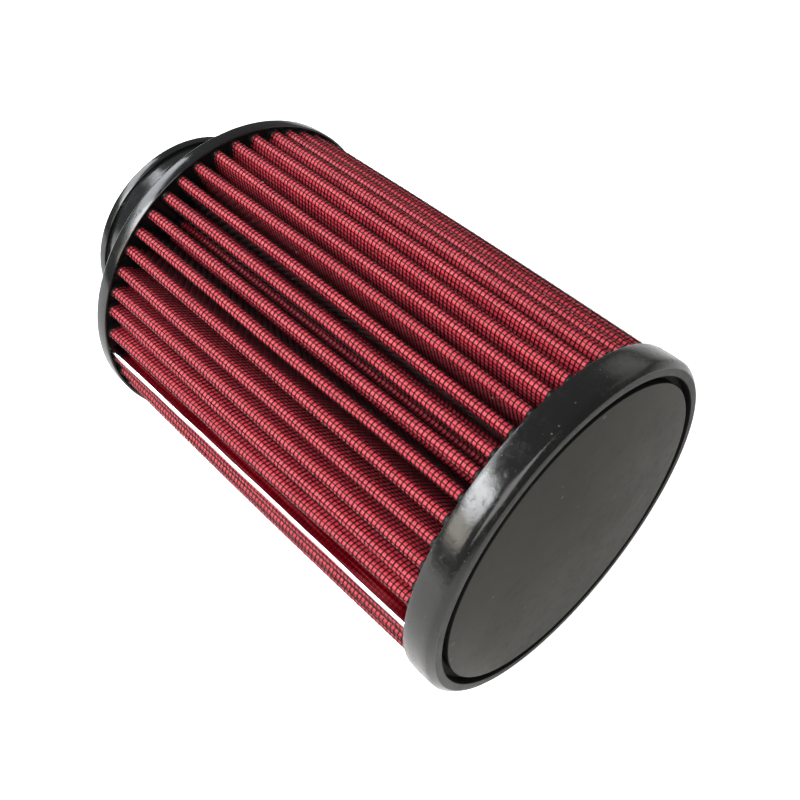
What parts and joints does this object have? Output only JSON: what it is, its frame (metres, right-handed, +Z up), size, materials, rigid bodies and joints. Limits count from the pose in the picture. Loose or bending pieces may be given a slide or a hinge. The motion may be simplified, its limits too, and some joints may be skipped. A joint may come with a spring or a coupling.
{
  "type": "motorcycle air filter",
  "caption": "Round clamp-on air filter: pleated red cotton gauze between wire screens, moulded neck at one end, plate in a moulded ring at the other.",
  "frame": {"origin": "centre of the neck's mouth, on the filter's axis", "axes": "+X along the filter's axis, from the neck's mouth towards the closed end; +Z up as the filter lies on its side"},
  "size_m": [0.203, 0.125, 0.125],
  "materials": {
    "open_end_polyurethane": "glossy black moulded polyurethane with fine scuffs and small bubbles",
    "closed_end_polyurethane": "glossy black moulded polyurethane with fine scuffs and small bubbles",
    "end_plate_satin": "satin dark grey with hairline scratches",
    "screen_black_epoxy": "black epoxy coat on woven wire",
    "gauze_red_oiled": "red oiled cotton gauze, slightly wet sheen",
    "seam_clip_aluminium": "bright rolled strip"
  },
  "bodies": {
    "root": {"open_end_moulding": "open_end_polyurethane", "closed_end_moulding": "closed_end_polyurethane", "end_plate": "end_plate_satin", "outer_screen": "screen_black_epoxy", "gauze_ply_1": "gauze_red_oiled", "gauze_ply_2": "gauze_red_oiled", "gauze_ply_3": "gauze_red_oiled", "gauze_ply_4": "gauze_red_oiled", "inner_screen": "screen_black_epoxy", "seam_clip": "seam_clip_aluminium"}
  },
  "joints": []
}
